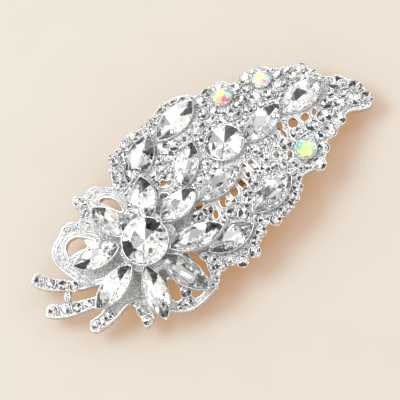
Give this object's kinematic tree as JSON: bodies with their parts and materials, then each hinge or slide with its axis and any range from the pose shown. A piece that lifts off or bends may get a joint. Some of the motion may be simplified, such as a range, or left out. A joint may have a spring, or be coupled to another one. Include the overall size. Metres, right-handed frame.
{
  "type": "rhinestone hair clip",
  "caption": "Domed openwork hair clip with a crystal flower and leaf on a spring barrette with swing arm, tension bow and pinch latch.",
  "frame": {"origin": "centre of the bounding box in plan, on the plane the closed clip stands on", "axes": "+X along the piece towards the leaf tip, +Y across it, +Z away from the hair"},
  "size_m": [0.1002, 0.0536, 0.0228],
  "materials": {
    "silver_plate": "polished",
    "spring_steel": "satin",
    "clear_crystal": "polished",
    "aurora_crystal": "polished"
  },
  "bodies": {
    "clip_body": {"aurora_stone_1": "aurora_crystal", "aurora_stone_2": "aurora_crystal", "aurora_stone_3": "aurora_crystal", "base_bar": "spring_steel", "centre_cup": "silver_plate", "centre_stone": "clear_crystal", "clip_rivets": "spring_steel", "flower_rivet": "silver_plate", "flower_setting": "silver_plate", "hinge_bracket": "spring_steel", "hinge_pin": "spring_steel", "latch_base": "spring_steel", "leaf_casting": "silver_plate", "leaf_navette_a": "clear_crystal", "leaf_navette_b": "clear_crystal", "leaf_navette_c": "clear_crystal", "leaf_navette_d": "clear_crystal", "leaf_navette_e": "clear_crystal", "leaf_navette_f": "clear_crystal", "leaf_navette_g": "clear_crystal", "leaf_navette_h": "clear_crystal", "leaf_round_stone": "clear_crystal", "pave_fill": "clear_crystal", "pave_inner_left": "clear_crystal", "pave_lattice": "clear_crystal", "pave_left_edge": "clear_crystal", "pave_lower": "clear_crystal", "pave_ribbon": "clear_crystal", "pave_right": "clear_crystal", "pave_tip": "clear_crystal", "pave_top": "clear_crystal", "petal_stone_1": "clear_crystal", "petal_stone_2": "clear_crystal", "petal_stone_3": "clear_crystal", "petal_stone_4": "clear_crystal", "petal_stone_5": "clear_crystal", "petal_stone_6": "clear_crystal", "petal_stone_7": "clear_crystal", "petal_stone_8": "clear_crystal"},
    "swing_arm_body": {"swing_arm": "spring_steel"},
    "tension_bow_body": {"tension_bow": "spring_steel"},
    "latch_prong_left_body": {"latch_prong_left": "spring_steel"},
    "latch_prong_right_body": {"latch_prong_right": "spring_steel"}
  },
  "joints": [
    {"name": "swing_arm_hinge", "type": "hinge", "parent": "clip_body", "child": "swing_arm_body", "pos_m": [-0.02845, 0.00003, 0.00223], "axis": [0, 1, 0], "range_deg": [0, 70]},
    {"name": "tension_bow_flex", "type": "hinge", "parent": "clip_body", "child": "tension_bow_body", "pos_m": [-0.02845, 0.00003, 0.00223], "axis": [0, -1, 0], "range_deg": [0, 3], "stiffness_Nm_per_rad": 0.05},
    {"name": "latch_prong_left_pinch", "type": "hinge", "parent": "clip_body", "child": "latch_prong_left_body", "pos_m": [0.02266, 0.00194, 0.00938], "axis": [-0.9877, 0, 0.1564], "range_deg": [0, 5], "stiffness_Nm_per_rad": 0.02},
    {"name": "latch_prong_right_pinch", "type": "hinge", "parent": "clip_body", "child": "latch_prong_right_body", "pos_m": [0.02266, -0.00186, 0.00938], "axis": [0.9877, 0, -0.1564], "range_deg": [0, 5], "stiffness_Nm_per_rad": 0.02}
  ],
  "couplings": [
    {"joint": "latch_prong_right_pinch", "follows": "latch_prong_left_pinch", "ratio": 1}
  ]
}
